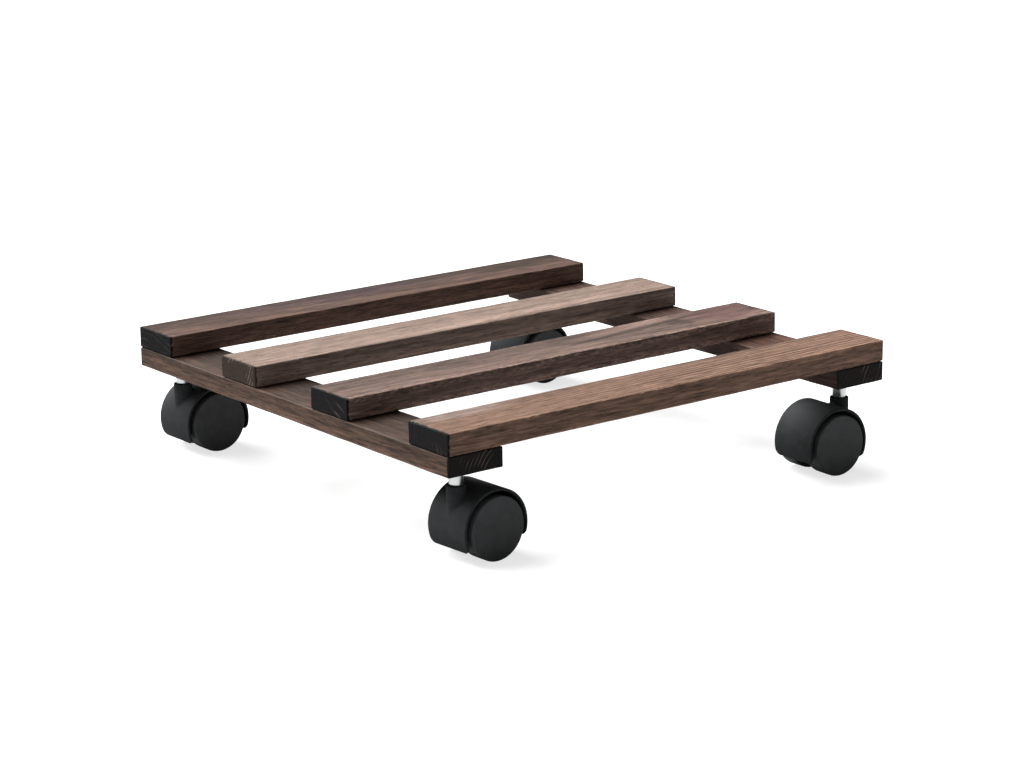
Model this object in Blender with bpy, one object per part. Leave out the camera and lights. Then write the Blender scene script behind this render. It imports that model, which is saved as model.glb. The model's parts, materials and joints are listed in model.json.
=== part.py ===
# Plant pot caddy: a slatted wooden deck on four hooded twin-wheel castors.
# Metres, +Z up. The floor is z = 0 and the origin is under the middle of the deck.
# X runs along the slats, Y along the rails, from the front (-Y) to the back (+Y).

import math

import bmesh
import bpy
from mathutils import Matrix

# Overall sizes
DECK_LENGTH = 0.350
DECK_WIDTH = 0.350
DECK_TOP = 0.085
GAP = 0.0003

# Boards
SLAT_WIDTH = 0.040
SLAT_THICKNESS = 0.014
RAIL_WIDTH = 0.040
RAIL_THICKNESS = 0.0127
EDGE_ROUNDING = 0.0008

# Countersunk wood screws, driven up through the rails
SCREW_OFFSET = (0.011, 0.010)
SCREW_LENGTH = 0.020
SCREW_RADIUS = 0.00175
SCREW_HEAD_RADIUS = 0.0034
SCREW_HEAD_DEPTH = 0.0021
SCREW_SIDES = 10

# Castors
WHEEL_RADIUS = 0.020
WHEEL_CHAMFER = 0.0005
CASTOR_WIDTH = 0.0384
WHEEL_GAP = 0.0138
WHEEL_WALL = 0.0022
HUB_RADIUS = 0.006
HUB_BORE_DEPTH = 0.008
WHEEL_SIDES = 28
TRAIL = 0.016
AXLE_RADIUS = 0.003
AXLE_SIDES = 16
HOOD_RADIUS = 0.0244
HOOD_WIDTH = 0.035
HOOD_WALL = 0.0018
HOOD_STEM_DROOP = math.radians(30)
HOOD_TAIL_DROOP = math.radians(23)
HOOD_STEPS = 24
WEB_THICKNESS = 0.003
BOSS_RADIUS = 0.0054
SOCKET_RADIUS = 0.0061
SOCKET_TOP = 0.0466
SOCKET_LENGTH = 0.022
SOCKET_FLOOR = 0.002

# Steel stems and what holds them in the wood
STEM_SIDES = 16
STEM_RADIUS = 0.0045
SHANK_RADIUS = 0.004
COLLAR_RADIUS = 0.0056
COLLAR_THICKNESS = 0.0013
SLEEVE_WALL = 0.0008
SLEEVE_LENGTH = 0.022
SLEEVE_FLANGE_RADIUS = 0.0075
SLEEVE_FLANGE_THICKNESS = 0.0007
RING_GROOVE_DEPTH = 0.0008
RING_GROOVE_HEIGHT = 0.0022
RING_FROM_TIP = 0.005
RING_ARC = math.radians(320)

# Worked out from the sizes above
SLAT_UNDERSIDE = DECK_TOP - SLAT_THICKNESS
RAIL_TOP = SLAT_UNDERSIDE - GAP
RAIL_UNDERSIDE = RAIL_TOP - RAIL_THICKNESS
SLAT_PITCH = (DECK_WIDTH - SLAT_WIDTH) / 3
RAIL_X = (DECK_LENGTH - RAIL_WIDTH) / 2
STEM_Y = (DECK_WIDTH - SLAT_WIDTH) / 2
WHEEL_WIDTH = (CASTOR_WIDTH - WHEEL_GAP) / 2
SOCKET_BORE_RADIUS = STEM_RADIUS + GAP
SLEEVE_BORE_RADIUS = SHANK_RADIUS + GAP
SLEEVE_RADIUS = SLEEVE_BORE_RADIUS + SLEEVE_WALL
FLANGE_TOP = RAIL_UNDERSIDE - GAP
FLANGE_UNDERSIDE = FLANGE_TOP - SLEEVE_FLANGE_THICKNESS
SLEEVE_TOP = FLANGE_TOP + SLEEVE_LENGTH
STEM_TIP = SLEEVE_TOP - 0.001

SLATS = {
    "slat_back": 1.5,
    "slat_mid_back": 0.5,
    "slat_mid_front": -0.5,
    "slat_front": -1.5,
}
RAILS = {
    "rail_left": -1,
    "rail_right": 1,
}
# Side of the deck in X and Y, and the way each castor trails from its stem
CASTORS = {
    "front_left": (-1, -1, math.radians(3)),
    "front_right": (1, -1, math.radians(179)),
    "back_left": (-1, 1, math.radians(1)),
    "back_right": (1, 1, math.radians(183)),
}


def clear_scene():
    for old in list(bpy.data.objects):
        bpy.data.objects.remove(old, do_unlink=True)


# Materials

def linear(hex_colour):
    """Linear RGBA of a screen colour written as six hex digits."""
    channels = []
    for start in (0, 2, 4):
        value = int(hex_colour[start:start + 2], 16) / 255
        channels.append(value / 12.92 if value <= 0.04045 else ((value + 0.055) / 1.055) ** 2.4)
    return (*channels, 1.0)


def principled(name, hex_colour, roughness, metallic=0.0):
    material = bpy.data.materials.new(name)
    material.use_nodes = True
    shader = material.node_tree.nodes["Principled BSDF"]
    shader.inputs["Base Color"].default_value = linear(hex_colour)
    shader.inputs["Roughness"].default_value = roughness
    shader.inputs["Metallic"].default_value = metallic
    return material


def make_materials():
    return {
        "slat_back": principled("wood_slat_back", "4A332E", 0.62),
        "slat_mid_back": principled("wood_slat_mid_back", "6B5547", 0.62),
        "slat_mid_front": principled("wood_slat_mid_front", "5C4640", 0.62),
        "slat_front": principled("wood_slat_front", "5E4337", 0.62),
        "rails": principled("wood_rails", "4D3D35", 0.66),
        "nylon": principled("black_nylon", "2D2F30", 0.48),
        "chrome": principled("chromed_steel", "D6D6D6", 0.12, 1.0),
        "zinc": principled("zinc_plated_steel", "B4B6B4", 0.34, 1.0),
        "spring": principled("spring_steel", "6E6E70", 0.38, 1.0),
    }


# Mesh helpers

def finish_mesh(bm, name, smooth):
    """Turns a bmesh into a mesh whose faces point out, smooth where the piece is round."""
    bmesh.ops.remove_doubles(bm, verts=bm.verts[:], dist=1e-6)
    bmesh.ops.recalc_face_normals(bm, faces=bm.faces[:])
    mesh = bpy.data.meshes.new(name)
    bm.to_mesh(mesh)
    bm.free()
    if smooth:
        mesh.shade_smooth()
        mesh.set_sharp_from_angle(angle=math.radians(40))
    return mesh


def turned_mesh(name, profile, sides):
    """Spins a profile of (radius, height) points round Z into a closed piece."""
    bm = bmesh.new()
    verts = [bm.verts.new((radius, 0, height)) for radius, height in profile]
    edges = [bm.edges.new(pair) for pair in zip(verts, verts[1:])]
    if profile[0][0] > 0:
        edges.append(bm.edges.new((verts[-1], verts[0])))
    bmesh.ops.spin(bm, geom=verts + edges, axis=(0, 0, 1), cent=(0, 0, 0),
                   steps=sides, angle=math.tau, use_merge=True)
    return finish_mesh(bm, name, smooth=True)


def prism_mesh(name, outline, depth):
    """Extrudes a closed outline in the XZ plane along Y, half of the depth to each side."""
    bm = bmesh.new()
    verts = [bm.verts.new((x, -depth / 2, z)) for x, z in outline]
    face = bm.faces.new(verts)
    pushed = bmesh.ops.extrude_face_region(bm, geom=[face])["geom"]
    moved = [item for item in pushed if isinstance(item, bmesh.types.BMVert)]
    bmesh.ops.translate(bm, vec=(0, depth, 0), verts=moved)
    return finish_mesh(bm, name, smooth=False)


def box_mesh(name, size):
    bm = bmesh.new()
    bmesh.ops.create_cube(bm, size=1.0, matrix=Matrix.Diagonal((*size, 1.0)))
    return finish_mesh(bm, name, smooth=False)


def joined_mesh(name, placed_meshes):
    """One mesh holding several separate shapes, each given with its place."""
    bm = bmesh.new()
    for mesh, place in placed_meshes:
        moved = mesh.copy()
        moved.transform(place)
        bm.from_mesh(moved)
        bpy.data.meshes.remove(moved)
    return finish_mesh(bm, name, smooth=False)


def add_object(name, mesh, parent=None, location=(0, 0, 0), rotation=(0, 0, 0)):
    obj = bpy.data.objects.new(name, mesh)
    bpy.context.scene.collection.objects.link(obj)
    obj.location = location
    obj.rotation_euler = rotation
    obj.parent = parent
    return obj


def paint(obj, material):
    if not obj.data.materials:
        obj.data.materials.append(material)
    return obj


def boolean(obj, operation, other_mesh):
    """Adds an exact Boolean with a hidden helper that holds the other mesh."""
    helper = add_object(other_mesh.name, other_mesh, location=obj.location)
    helper.hide_render = True
    helper.hide_set(True)
    helper.display_type = "WIRE"
    modifier = obj.modifiers.new(operation.lower(), "BOOLEAN")
    modifier.operation = operation
    modifier.solver = "EXACT"
    modifier.object = helper
    return helper


# Boards

def slat_y(name):
    return SLATS[name] * SLAT_PITCH


def screw_places(rail_side, slat_name):
    """The two screws where a rail and a slat cross, on a diagonal of the crossing."""
    x = rail_side * RAIL_X
    y = slat_y(slat_name)
    return [(x + way * SCREW_OFFSET[0], y + way * SCREW_OFFSET[1]) for way in (-1, 1)]


def bevelled_board(name, size, centre, material):
    board = add_object(name, box_mesh(name, size), location=centre)
    bevel = board.modifiers.new("edge rounding", "BEVEL")
    bevel.width = EDGE_ROUNDING
    bevel.segments = 2
    bevel.limit_method = "ANGLE"
    return paint(board, material)


def screw_hole_mesh():
    """Clearance for one screw: countersink at the rail's underside, blind end in the slat."""
    radius = SCREW_RADIUS + GAP
    head_radius = SCREW_HEAD_RADIUS + 2 * GAP
    countersink = SCREW_HEAD_DEPTH + 2 * GAP
    profile = [
        (0, -0.001),
        (head_radius, -0.001),
        (head_radius, GAP),
        (radius, countersink),
        (radius, SCREW_LENGTH + 3 * GAP),
        (0, SCREW_LENGTH + 3 * GAP),
    ]
    return turned_mesh("screw_hole", profile, SCREW_SIDES)


def stem_hole_mesh():
    radius = SLEEVE_RADIUS + GAP
    top = SLEEVE_LENGTH + 2 * GAP
    profile = [(0, -0.001), (radius, -0.001), (radius, top), (0, top)]
    return turned_mesh("stem_hole", profile, STEM_SIDES)


def board_holes(name, screws, stems):
    """The screw and stem holes of one board, which start at the rails' underside."""
    screw_hole = screw_hole_mesh()
    stem_hole = stem_hole_mesh()
    places = [(screw_hole, Matrix.Translation((x, y, RAIL_UNDERSIDE))) for x, y in screws]
    places += [(stem_hole, Matrix.Translation((x, y, RAIL_UNDERSIDE))) for x, y in stems]
    return joined_mesh(name + "_holes", places)


def cut_holes(board, screws, stems):
    holes = board_holes(board.name, screws, stems)
    holes.transform(Matrix.Translation(-board.location))
    boolean(board, "DIFFERENCE", holes)


def add_slat(name, material):
    y = slat_y(name)
    centre = (0, y, DECK_TOP - SLAT_THICKNESS / 2)
    slat = bevelled_board(name, (DECK_LENGTH, SLAT_WIDTH, SLAT_THICKNESS), centre, material)
    screws = [place for side in RAILS.values() for place in screw_places(side, name)]
    stems = [(side * RAIL_X, y) for side in RAILS.values() if math.isclose(abs(y), STEM_Y)]
    cut_holes(slat, screws, stems)


def add_rail(name, material):
    x = RAILS[name] * RAIL_X
    centre = (x, 0, RAIL_TOP - RAIL_THICKNESS / 2)
    rail = bevelled_board(name, (RAIL_WIDTH, DECK_WIDTH, RAIL_THICKNESS), centre, material)
    screws = [place for slat in SLATS for place in screw_places(RAILS[name], slat)]
    cut_holes(rail, screws, [(x, -STEM_Y), (x, STEM_Y)])


# Screws

def screw_mesh():
    profile = [
        (0, GAP),
        (SCREW_HEAD_RADIUS, GAP),
        (SCREW_HEAD_RADIUS, 2 * GAP),
        (SCREW_RADIUS, SCREW_HEAD_DEPTH + GAP),
        (SCREW_RADIUS, SCREW_LENGTH - 2 * SCREW_RADIUS),
        (0, SCREW_LENGTH),
    ]
    return turned_mesh("wood_screw", profile, SCREW_SIDES)


def add_screws(material):
    mesh = screw_mesh()
    for rail, side in RAILS.items():
        for slat in SLATS:
            crossing = slat.replace("slat_", "") + rail.replace("rail", "")
            for number, (x, y) in enumerate(screw_places(side, slat), start=1):
                name = f"screw_{crossing}_{number}"
                paint(add_object(name, mesh, location=(x, y, RAIL_UNDERSIDE)), material)


# Castor pieces. Their frame has the swivel axis at x = y = 0 and the floor at z = 0,
# and the castor trails towards +X, so the axle is at x = TRAIL, z = WHEEL_RADIUS.

def sleeve_mesh():
    """Flanged steel sleeve pressed into the rail and the slat above it."""
    profile = [
        (SLEEVE_BORE_RADIUS, SLEEVE_TOP),
        (SLEEVE_RADIUS, SLEEVE_TOP),
        (SLEEVE_RADIUS, FLANGE_TOP),
        (SLEEVE_FLANGE_RADIUS, FLANGE_TOP),
        (SLEEVE_FLANGE_RADIUS, FLANGE_UNDERSIDE),
        (SLEEVE_BORE_RADIUS, FLANGE_UNDERSIDE),
    ]
    return turned_mesh("stem_sleeve", profile, STEM_SIDES)


def ring_groove():
    """Heights of the lower and the upper side of the stem's groove."""
    upper = STEM_TIP - RING_FROM_TIP
    return upper - RING_GROOVE_HEIGHT, upper


def stem_mesh():
    """Chromed pin: journal in the housing, collar under the sleeve, grooved shank above."""
    foot = SOCKET_TOP - SOCKET_LENGTH + SOCKET_FLOOR + GAP
    chamfer = 0.0006
    groove_radius = SHANK_RADIUS - RING_GROOVE_DEPTH
    groove_bottom, groove_top = ring_groove()
    collar_top = FLANGE_UNDERSIDE - GAP
    profile = [
        (0, STEM_TIP),
        (SHANK_RADIUS - chamfer, STEM_TIP),
        (SHANK_RADIUS, STEM_TIP - chamfer),
        (SHANK_RADIUS, groove_top),
        (groove_radius, groove_top),
        (groove_radius, groove_bottom),
        (SHANK_RADIUS, groove_bottom),
        (SHANK_RADIUS, collar_top),
        (COLLAR_RADIUS, collar_top),
        (COLLAR_RADIUS, collar_top - COLLAR_THICKNESS),
        (STEM_RADIUS, collar_top - COLLAR_THICKNESS),
        (STEM_RADIUS, foot + chamfer),
        (STEM_RADIUS - chamfer, foot),
        (0, foot),
    ]
    return turned_mesh("stem", profile, STEM_SIDES)


def grip_ring_mesh():
    """Split spring ring that sits in the stem's groove and grips the sleeve."""
    bottom, top = ring_groove()
    inner = SHANK_RADIUS - RING_GROOVE_DEPTH + GAP
    outer = SHANK_RADIUS
    bm = bmesh.new()
    corners = [(inner, bottom + GAP), (outer, bottom + GAP), (outer, top - GAP), (inner, top - GAP)]
    section = bm.faces.new([bm.verts.new((radius, 0, height)) for radius, height in corners])
    bmesh.ops.spin(bm, geom=[section, *section.verts, *section.edges], axis=(0, 0, 1),
                   cent=(0, 0, 0), steps=12, angle=RING_ARC)
    bmesh.ops.holes_fill(bm, edges=[edge for edge in bm.edges if edge.is_boundary])
    return finish_mesh(bm, "grip_ring", smooth=True)


def hood_point(radius, angle):
    """Point at an angle round the axle, from the trailing side up over the top."""
    return (TRAIL + radius * math.cos(angle), WHEEL_RADIUS + radius * math.sin(angle))


def hood_arc(radius):
    """Points from the trailing edge of the hood over its top to the stem side's edge."""
    sweep = math.pi + HOOD_TAIL_DROOP + HOOD_STEM_DROOP
    return [hood_point(radius, -HOOD_TAIL_DROOP + sweep * step / HOOD_STEPS)
            for step in range(HOOD_STEPS + 1)]


def upright_cylinder(name, radius, bottom, top, sides):
    return turned_mesh(name, [(0, top), (radius, top), (radius, bottom), (0, bottom)], sides)


def cross_cylinder(name, radius, half_length, sides):
    """Cylinder on the axle's axis, from one side of the castor to the other."""
    mesh = upright_cylinder(name, radius, -half_length, half_length, sides)
    mesh.transform(Matrix.Rotation(math.radians(90), 4, "X"))
    mesh.transform(Matrix.Translation((TRAIL, 0, WHEEL_RADIUS)))
    return mesh


def housing_mesh():
    """Hood over both wheels, web between them, stem socket and axle boss, in one moulding."""
    inner_radius = HOOD_RADIUS - HOOD_WALL
    shell = hood_arc(HOOD_RADIUS) + hood_arc(inner_radius)[::-1]
    web = hood_arc(inner_radius + HOOD_WALL / 2)
    socket_bottom = SOCKET_TOP - SOCKET_LENGTH
    boss_half_length = WHEEL_GAP / 2 - 2 * GAP
    bore_bottom = socket_bottom + SOCKET_FLOOR
    housing = add_object("housing_shape", prism_mesh("housing_shape", shell, HOOD_WIDTH))
    helpers = [housing]
    added = [
        prism_mesh("web", web, WEB_THICKNESS),
        upright_cylinder("socket", SOCKET_RADIUS, socket_bottom, SOCKET_TOP, 20),
        cross_cylinder("axle_boss", BOSS_RADIUS, boss_half_length, AXLE_SIDES),
    ]
    removed = [
        upright_cylinder("socket_bore", SOCKET_BORE_RADIUS, bore_bottom, SOCKET_TOP + 0.001, 20),
        cross_cylinder("axle_bore", AXLE_RADIUS + GAP, CASTOR_WIDTH, AXLE_SIDES),
    ]
    helpers += [boolean(housing, "UNION", mesh) for mesh in added]
    helpers += [boolean(housing, "DIFFERENCE", mesh) for mesh in removed]
    shape = housing.evaluated_get(bpy.context.evaluated_depsgraph_get())
    bm = bmesh.new()
    bm.from_mesh(shape.to_mesh())
    shape.to_mesh_clear()
    for helper in helpers:
        bpy.data.objects.remove(helper, do_unlink=True)
    return finish_mesh(bm, "castor_housing", smooth=True)


def axle_mesh():
    """Steel axle with its axis on Z and its middle at the origin."""
    half_length = WHEEL_GAP / 2 + HUB_BORE_DEPTH - GAP
    chamfer = 0.0004
    profile = [
        (0, half_length),
        (AXLE_RADIUS - chamfer, half_length),
        (AXLE_RADIUS, half_length - chamfer),
        (AXLE_RADIUS, chamfer - half_length),
        (AXLE_RADIUS - chamfer, -half_length),
        (0, -half_length),
    ]
    return turned_mesh("axle", profile, AXLE_SIDES)


def wheel_mesh():
    """Dished wheel with its axis on Z, its open side at z = WHEEL_GAP / 2."""
    inner = WHEEL_GAP / 2
    outer = inner + WHEEL_WIDTH
    bore_radius = AXLE_RADIUS + GAP
    profile = [
        (0, outer),
        (WHEEL_RADIUS - WHEEL_CHAMFER, outer),
        (WHEEL_RADIUS, outer - WHEEL_CHAMFER),
        (WHEEL_RADIUS, inner),
        (WHEEL_RADIUS - WHEEL_WALL, inner),
        (WHEEL_RADIUS - WHEEL_WALL, outer - WHEEL_WALL),
        (HUB_RADIUS, outer - WHEEL_WALL),
        (HUB_RADIUS, inner),
        (bore_radius, inner),
        (bore_radius, inner + HUB_BORE_DEPTH),
        (0, inner + HUB_BORE_DEPTH),
    ]
    return turned_mesh("wheel", profile, WHEEL_SIDES)


def castor_meshes():
    return {
        "sleeve": sleeve_mesh(),
        "stem": stem_mesh(),
        "grip_ring": grip_ring_mesh(),
        "housing": housing_mesh(),
        "axle": axle_mesh(),
        "wheel": wheel_mesh(),
    }


def add_empty(name, location, heading):
    empty = add_object(name, None, location=location, rotation=(0, 0, heading))
    empty.empty_display_size = 0.02
    return empty


def add_castor(corner, meshes, materials):
    side_x, side_y, heading = CASTORS[corner]
    prefix = "castor_" + corner
    swivel = add_empty(prefix + "_swivel", (side_x * RAIL_X, side_y * STEM_Y, 0), heading)
    fixed = {"sleeve": "zinc", "stem": "chrome", "grip_ring": "spring", "housing": "nylon"}
    for piece, material in fixed.items():
        paint(add_object(f"{prefix}_{piece}", meshes[piece], swivel), materials[material])
    axle_centre = (TRAIL, 0, WHEEL_RADIUS)
    quarter = math.radians(90)
    axle = add_object(prefix + "_axle", meshes["axle"], swivel, axle_centre, (quarter, 0, 0))
    paint(axle, materials["zinc"])
    # Which wheel faces the front depends on the way that the castor trails
    facing = -1 if math.cos(heading) > 0 else 1
    for wheel, turn in (("wheel_front", -facing), ("wheel_back", facing)):
        rotation = (turn * quarter, 0, 0)
        obj = add_object(f"{prefix}_{wheel}", meshes["wheel"], swivel, axle_centre, rotation)
        paint(obj, materials["nylon"])


def build():
    clear_scene()
    materials = make_materials()
    for name in SLATS:
        add_slat(name, materials[name])
    for name in RAILS:
        add_rail(name, materials["rails"])
    add_screws(materials["zinc"])
    meshes = castor_meshes()
    for corner in CASTORS:
        add_castor(corner, meshes, materials)


build()
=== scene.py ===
# Looks of the plant pot caddy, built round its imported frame.
# Metres, +Z up, floor at z = 0, slats along X, rails along Y.

import json
import math

import bmesh
import bpy
from mathutils import Matrix, Vector, noise


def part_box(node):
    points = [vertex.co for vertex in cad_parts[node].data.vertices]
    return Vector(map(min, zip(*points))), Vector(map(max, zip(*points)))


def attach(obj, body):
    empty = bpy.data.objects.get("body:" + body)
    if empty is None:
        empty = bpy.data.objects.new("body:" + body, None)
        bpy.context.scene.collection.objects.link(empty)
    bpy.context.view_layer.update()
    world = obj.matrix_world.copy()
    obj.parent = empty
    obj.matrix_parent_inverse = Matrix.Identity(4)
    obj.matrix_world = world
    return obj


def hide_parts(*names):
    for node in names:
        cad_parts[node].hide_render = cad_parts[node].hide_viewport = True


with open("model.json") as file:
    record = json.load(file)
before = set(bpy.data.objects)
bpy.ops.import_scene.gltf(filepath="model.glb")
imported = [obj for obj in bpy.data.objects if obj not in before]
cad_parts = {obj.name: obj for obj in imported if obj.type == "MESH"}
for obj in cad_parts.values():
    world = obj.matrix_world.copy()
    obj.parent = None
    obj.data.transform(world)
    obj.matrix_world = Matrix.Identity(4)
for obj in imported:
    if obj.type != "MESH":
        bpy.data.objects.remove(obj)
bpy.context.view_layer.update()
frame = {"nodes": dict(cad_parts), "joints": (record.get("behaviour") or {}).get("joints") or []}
print("frame loaded:", len(frame["nodes"]), "nodes")

slats = ("slat_front", "slat_mid_front", "slat_mid_back", "slat_back")
rails = ("rail_left", "rail_right")
corners = ("front_left", "front_right", "back_left", "back_right")
screws = sorted(name for name in frame["nodes"] if name.startswith("screw_"))
gap = 0.0003    # left between pieces that touch
overcut = 0.003    # how far a cutter stands out of what it cuts
weld = 0.000001    # points closer than this are one
crease = 35    # degrees: edges that turn more than this stay crisp


# Stage and camera

studio = {
    "floorSize": 30.0,
    "floorColour": (0.36, 0.36, 0.36, 1),
    "floorRoughness": 0.9,
    "floorSpecular": 0.1,
    "floorGlow": 0.72,        # seen by the camera only: it thins the shade under the deck
    "skyColour": (1, 1, 1, 1),
    "skyStrength": 0.23,
    "lightStrength": 9.6,
    "lightSoftness": 60,      # degrees
    "lightSource": (-0.25, 0.7, 1.0),
}

view = {
    "place": (-1.1186, -1.4808, 0.5383),
    "yaw": 52.810,      # degrees from +X
    "pitch": -14.736,
    "roll": -0.828,
    "lens": 101.93,
    "sensor": 36,
    "farthest": 30,     # metres
}


def inScene(thing):
    bpy.context.scene.collection.objects.link(thing)
    return thing


def makeFloor():
    bm = bmesh.new()
    bmesh.ops.create_grid(bm, x_segments=1, y_segments=1, size=studio["floorSize"] / 2)
    floorMesh = bpy.data.meshes.new("floor")
    bm.to_mesh(floorMesh)
    bm.free()
    paper = bpy.data.materials.new("floor paper")
    paper.use_nodes = True
    shader = paper.node_tree.nodes["Principled BSDF"]
    shader.inputs["Base Color"].default_value = studio["floorColour"]
    shader.inputs["Roughness"].default_value = studio["floorRoughness"]
    shader.inputs["Specular IOR Level"].default_value = studio["floorSpecular"]
    shader.inputs["Emission Strength"].default_value = studio["floorGlow"]
    seen = paper.node_tree.nodes.new("ShaderNodeLightPath").outputs["Is Camera Ray"]
    feed(paper.node_tree, shader.inputs["Emission Color"], seen)
    floorMesh.materials.append(paper)
    inScene(bpy.data.objects.new("floor", floorMesh))


def makeLight():
    sky = bpy.data.worlds.new("studio")
    sky.use_nodes = True
    background = sky.node_tree.nodes["Background"]
    background.inputs["Color"].default_value = studio["skyColour"]
    background.inputs["Strength"].default_value = studio["skyStrength"]
    bpy.context.scene.world = sky
    bpy.context.scene.view_settings.view_transform = "Standard"
    light = bpy.data.lights.new("soft light", "SUN")
    light.energy = studio["lightStrength"]
    light.angle = math.radians(studio["lightSoftness"])
    lamp = inScene(bpy.data.objects.new("soft light", light))
    lamp.location = studio["lightSource"]
    lamp.rotation_euler = Vector(studio["lightSource"]).to_track_quat("Z", "Y").to_euler()


def makeCamera():
    yaw, pitch, roll = (math.radians(view[key]) for key in ("yaw", "pitch", "roll"))
    ahead = Vector((math.cos(yaw) * math.cos(pitch), math.sin(yaw) * math.cos(pitch), math.sin(pitch)))
    level = Vector((math.sin(yaw), -math.cos(yaw), 0))
    up = level.cross(ahead)
    right = math.cos(roll) * level + math.sin(roll) * up
    up = math.cos(roll) * up - math.sin(roll) * level
    lens = bpy.data.cameras.new("camera")
    lens.lens = view["lens"]
    lens.sensor_width = view["sensor"]
    lens.clip_end = view["farthest"]
    camera = inScene(bpy.data.objects.new("camera", lens))
    turn = Matrix((right, up, -ahead)).transposed()
    camera.matrix_world = Matrix.Translation(view["place"]) @ turn.to_4x4()
    bpy.context.scene.camera = camera


# Node helpers

def hexColour(digits):
    # shaders want linear light, so the screen's curve is undone
    channels = [int(digits[start:start + 2], 16) / 255 for start in (0, 2, 4)]
    return (*[c / 12.92 if c <= 0.04045 else ((c + 0.055) / 1.055) ** 2.4 for c in channels], 1)


def feed(tree, socket, value):
    if isinstance(value, bpy.types.NodeSocket):
        tree.links.new(value, socket)
    else:
        socket.default_value = value


def calc(tree, operation, *values, clamp=False):
    node = tree.nodes.new("ShaderNodeMath")
    node.operation = operation
    node.use_clamp = clamp
    for socket, value in zip(node.inputs, values):
        feed(tree, socket, value)
    return node.outputs[0]


def times(tree, first, *others):
    for other in others:
        first = calc(tree, "MULTIPLY", first, other)
    return first


def calcVector(tree, operation, *values, output="Vector"):
    node = tree.nodes.new("ShaderNodeVectorMath")
    node.operation = operation
    for socket, value in zip(node.inputs, values):
        feed(tree, socket, value)
    return node.outputs[output]


def lengthOf(tree, vector):
    return calcVector(tree, "LENGTH", vector, output="Value")


def scaled(tree, vector, amount):
    node = tree.nodes.new("ShaderNodeVectorMath")
    node.operation = "SCALE"
    feed(tree, node.inputs["Vector"], vector)
    feed(tree, node.inputs["Scale"], amount)
    return node.outputs["Vector"]


def partsOf(tree, vector):
    node = tree.nodes.new("ShaderNodeSeparateXYZ")
    feed(tree, node.inputs["Vector"], vector)
    return node.outputs


def ease(tree, value, low, high, toLow=0.0, toHigh=1.0):
    node = tree.nodes.new("ShaderNodeMapRange")
    node.interpolation_type = "SMOOTHSTEP"
    for name, entry in (("Value", value), ("From Min", low), ("From Max", high),
                        ("To Min", toLow), ("To Max", toHigh)):
        feed(tree, node.inputs[name], entry)
    return node.outputs["Result"]


def mixColour(tree, factor, first, second):
    node = tree.nodes.new("ShaderNodeMix")
    node.data_type = "RGBA"
    factorIn, firstIn, secondIn, colourOut = 0, 6, 7, 2    # Mix keeps sockets for every type of data
    feed(tree, node.inputs[factorIn], factor)
    feed(tree, node.inputs[firstIn], first)
    feed(tree, node.inputs[secondIn], second)
    return node.outputs[colourOut]


def cloud(tree, place, waves, detail=2.0, roughness=0.5):
    # noise from 0 to 1, with so many waves per metre along X, Y and Z
    node = tree.nodes.new("ShaderNodeTexNoise")
    node.inputs["Scale"].default_value = 1.0
    node.inputs["Detail"].default_value = detail
    node.inputs["Roughness"].default_value = roughness
    feed(tree, node.inputs["Vector"], calcVector(tree, "MULTIPLY", place, waves))
    return node.outputs["Fac"]


def swing(tree, place, waves, detail=2.0, roughness=0.5):
    # the same noise, but to both sides of zero
    return calc(tree, "SUBTRACT", cloud(tree, place, waves, detail, roughness), 0.5)


def brighten(tree, colour, amount):
    # amount differs from place to place: 0 leaves the colour alone
    return scaled(tree, colour, calc(tree, "ADD", amount, 1.0))


def makeGroup(name, colours=(), vectors=(), numbers=()):
    # a group for a surface, with the place on the piece for its textures
    tree = bpy.data.node_groups.new(name, "ShaderNodeTree")
    for kind, labels in (("Color", colours), ("Vector", vectors), ("Float", numbers)):
        for label in labels:
            tree.interface.new_socket(name=label, in_out="INPUT", socket_type="NodeSocket" + kind)
    for label, kind in (("Colour", "Color"), ("Roughness", "Float"), ("Height", "Float")):
        tree.interface.new_socket(name=label, in_out="OUTPUT", socket_type="NodeSocket" + kind)
    own = tree.nodes.new("ShaderNodeTexCoord").outputs["Object"]
    return tree, tree.nodes.new("NodeGroupInput").outputs, own


def giveOut(tree, colour, roughness, height):
    out = tree.nodes.new("NodeGroupOutput").inputs
    feed(tree, out["Colour"], colour)
    feed(tree, out["Roughness"], roughness)
    feed(tree, out["Height"], height)
    return tree


def finishFrom(name, group, values, bump, depth=0.0001, metallic=0.0, specular=0.5):
    # a material with one Principled shader, fed by one of the groups
    material = bpy.data.materials.new(name)
    material.use_nodes = True
    tree = material.node_tree
    shader = tree.nodes["Principled BSDF"]
    shader.inputs["Metallic"].default_value = metallic
    shader.inputs["Specular IOR Level"].default_value = specular
    effect = tree.nodes.new("ShaderNodeGroup")
    effect.node_tree = group
    for label, value in values.items():
        effect.inputs[label].default_value = value
    relief = tree.nodes.new("ShaderNodeBump")
    relief.inputs["Strength"].default_value = bump
    relief.inputs["Distance"].default_value = depth
    tree.links.new(effect.outputs["Colour"], shader.inputs["Base Color"])
    tree.links.new(effect.outputs["Roughness"], shader.inputs["Roughness"])
    tree.links.new(effect.outputs["Height"], relief.inputs["Height"])
    tree.links.new(relief.outputs["Normal"], shader.inputs["Normal"])
    return material


# Stained softwood. A board's grain runs along its own X, and its growth rings are
# circles round a pith line that lies beside the board.

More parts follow.
